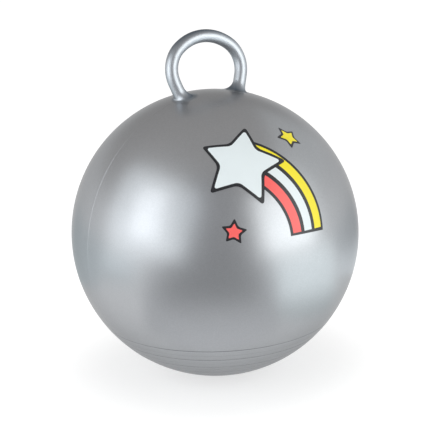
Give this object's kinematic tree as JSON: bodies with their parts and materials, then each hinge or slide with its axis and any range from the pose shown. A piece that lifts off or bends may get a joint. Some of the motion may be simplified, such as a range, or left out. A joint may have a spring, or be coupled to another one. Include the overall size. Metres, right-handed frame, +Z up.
{
  "type": "hopper ball",
  "caption": "Inflated vinyl hopper ball with a hollow ring handle on top, grip rings underneath and a push-in valve plug at the back.",
  "frame": {"origin": "middle of the flat on the ball's underside that it rests on", "axes": "+Z up through the ball's centre; the handle loop spans X and leans towards +Y; the front with the print faces -Y and the valve faces +Y"},
  "size_m": [0.4499, 0.4498, 0.5407],
  "materials": {
    "pearl_vinyl": "satin silver vinyl with a fine pearl flake",
    "handle_vinyl": "glossy silver vinyl, a little bluer than the ball",
    "seat_vinyl": "soft matt grey vinyl",
    "plug_plastic": "moulded white polyethylene",
    "print_white": "screen-printed ink",
    "print_black": "screen-printed ink",
    "print_yellow": "screen-printed ink",
    "print_coral": "screen-printed ink"
  },
  "bodies": {
    "ball": {"ball_skin": "pearl_vinyl", "ring_handle": "handle_vinyl", "valve_seat": "seat_vinyl"},
    "plug": {"valve_plug": "plug_plastic"}
  },
  "joints": [
    {"name": "plug_pull", "type": "slide", "parent": "ball", "child": "plug", "axis": [0, 1, 0], "range_m": [0, 0.035]}
  ]
}
